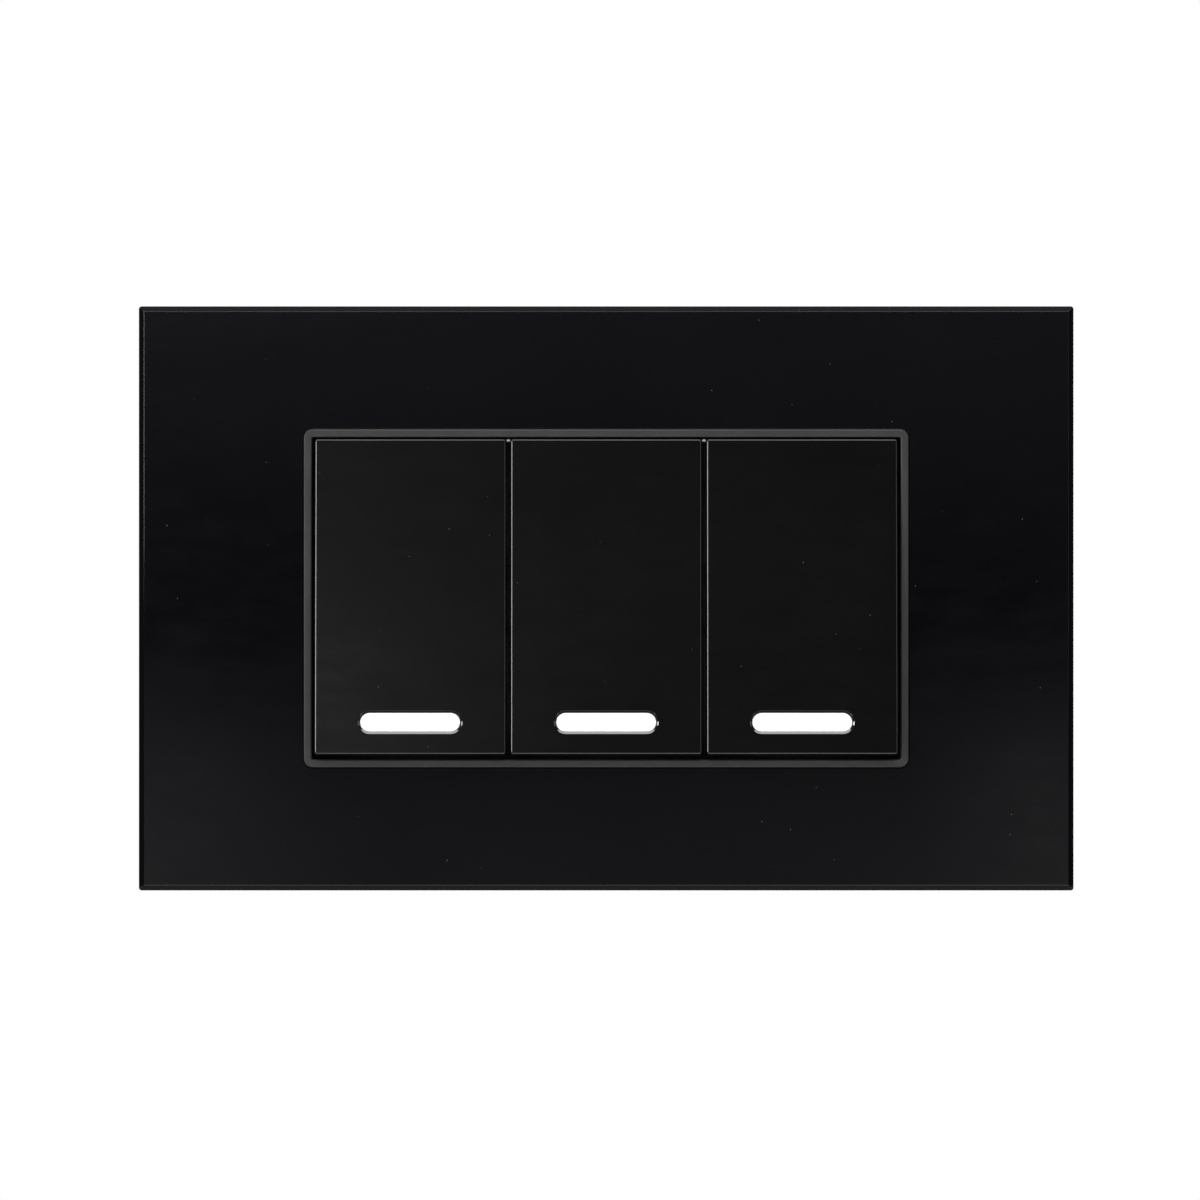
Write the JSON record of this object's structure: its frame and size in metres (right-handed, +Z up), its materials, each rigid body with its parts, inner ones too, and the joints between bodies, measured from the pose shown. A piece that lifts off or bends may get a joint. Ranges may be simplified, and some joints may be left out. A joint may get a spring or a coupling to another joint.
{
  "type": "wall plate cover",
  "caption": "Rectangular gloss wall plate cover with tall rocker switches side by side in a slim matt ring, on a clip-on carrier, support frame and switch modules.",
  "frame": {"origin": "middle of the plate, on the wall's surface", "axes": "+X to the right along the plate's width, +Y into the wall, +Z up; the front faces -Y"},
  "size_m": [0.12, 0.0315, 0.075],
  "materials": {
    "panel_black": "high gloss",
    "rocker_black": "high gloss",
    "carrier_black": "fine matt",
    "frame_black": "fine matt",
    "housing_grey": "matt",
    "lens_white": "satin",
    "nylon_white": "satin",
    "brass": "satin",
    "spring_steel": "polished",
    "zinc_steel": "satin"
  },
  "bodies": {
    "frame": {"support_frame": "frame_black", "mounting_screw_left": "zinc_steel", "mounting_screw_right": "zinc_steel", "cradle_left": "frame_black", "housing_left": "housing_grey", "switched_terminal_left": "brass", "common_terminal_left": "brass", "switched_screw_left": "zinc_steel", "common_screw_left": "zinc_steel", "cradle_middle": "frame_black", "housing_middle": "housing_grey", "switched_terminal_middle": "brass", "common_terminal_middle": "brass", "switched_screw_middle": "zinc_steel", "common_screw_middle": "zinc_steel", "cradle_right": "frame_black", "housing_right": "housing_grey", "switched_terminal_right": "brass", "common_terminal_right": "brass", "switched_screw_right": "zinc_steel", "common_screw_right": "zinc_steel"},
    "cover": {"cover_panel": "panel_black", "cover_carrier": "carrier_black", "snap_clip_lower_left": "spring_steel", "snap_clip_lower_right": "spring_steel", "snap_clip_upper_left": "spring_steel", "snap_clip_upper_right": "spring_steel"},
    "rocker_left": {"rocker_left": "rocker_black", "indicator_lens_left": "lens_white", "plunger_spring_left": "spring_steel"},
    "plunger_left": {"plunger_left": "nylon_white"},
    "contact_left": {"moving_contact_left": "brass"},
    "rocker_middle": {"rocker_middle": "rocker_black", "indicator_lens_middle": "lens_white", "plunger_spring_middle": "spring_steel"},
    "plunger_middle": {"plunger_middle": "nylon_white"},
    "contact_middle": {"moving_contact_middle": "brass"},
    "rocker_right": {"rocker_right": "rocker_black", "indicator_lens_right": "lens_white", "plunger_spring_right": "spring_steel"},
    "plunger_right": {"plunger_right": "nylon_white"},
    "contact_right": {"moving_contact_right": "brass"}
  },
  "joints": [
    {"name": "cover_pull", "type": "slide", "parent": "frame", "child": "cover", "axis": [0, -1, 0], "range_m": [0, 0.03], "deforming": ["snap_clip_lower_left", "snap_clip_lower_right", "snap_clip_upper_left", "snap_clip_upper_right"]},
    {"name": "rocker_left_tilt", "type": "hinge", "parent": "frame", "child": "rocker_left", "pos_m": [-0.0251, -0.006, 0], "axis": [1, 0, 0], "range_deg": [0, 6]},
    {"name": "plunger_left_travel", "type": "slide", "parent": "rocker_left", "child": "plunger_left", "axis": [0, -0.9986, 0.0523], "range_m": [0, 0.0008], "stiffness_N_per_m": 300, "springref_m": -0.003, "deforming": ["plunger_spring_left"]},
    {"name": "contact_left_tilt", "type": "hinge", "parent": "frame", "child": "contact_left", "pos_m": [-0.0251, 0.0053, 0], "axis": [1, 0, 0], "range_deg": [-12, 0]},
    {"name": "rocker_middle_tilt", "type": "hinge", "parent": "frame", "child": "rocker_middle", "pos_m": [0, -0.006, 0], "axis": [1, 0, 0], "range_deg": [0, 6]},
    {"name": "plunger_middle_travel", "type": "slide", "parent": "rocker_middle", "child": "plunger_middle", "axis": [0, -0.9986, 0.0523], "range_m": [0, 0.0008], "stiffness_N_per_m": 300, "springref_m": -0.003, "deforming": ["plunger_spring_middle"]},
    {"name": "contact_middle_tilt", "type": "hinge", "parent": "frame", "child": "contact_middle", "pos_m": [0, 0.0053, 0], "axis": [1, 0, 0], "range_deg": [-12, 0]},
    {"name": "rocker_right_tilt", "type": "hinge", "parent": "frame", "child": "rocker_right", "pos_m": [0.0251, -0.006, 0], "axis": [1, 0, 0], "range_deg": [0, 6]},
    {"name": "plunger_right_travel", "type": "slide", "parent": "rocker_right", "child": "plunger_right", "axis": [0, -0.9986, 0.0523], "range_m": [0, 0.0008], "stiffness_N_per_m": 300, "springref_m": -0.003, "deforming": ["plunger_spring_right"]},
    {"name": "contact_right_tilt", "type": "hinge", "parent": "frame", "child": "contact_right", "pos_m": [0.0251, 0.0053, 0], "axis": [1, 0, 0], "range_deg": [-12, 0]}
  ],
  "couplings": [
    {"joint": "contact_left_tilt", "follows": "rocker_left_tilt", "ratio": -2},
    {"joint": "contact_middle_tilt", "follows": "rocker_middle_tilt", "ratio": -2},
    {"joint": "contact_right_tilt", "follows": "rocker_right_tilt", "ratio": -2}
  ]
}
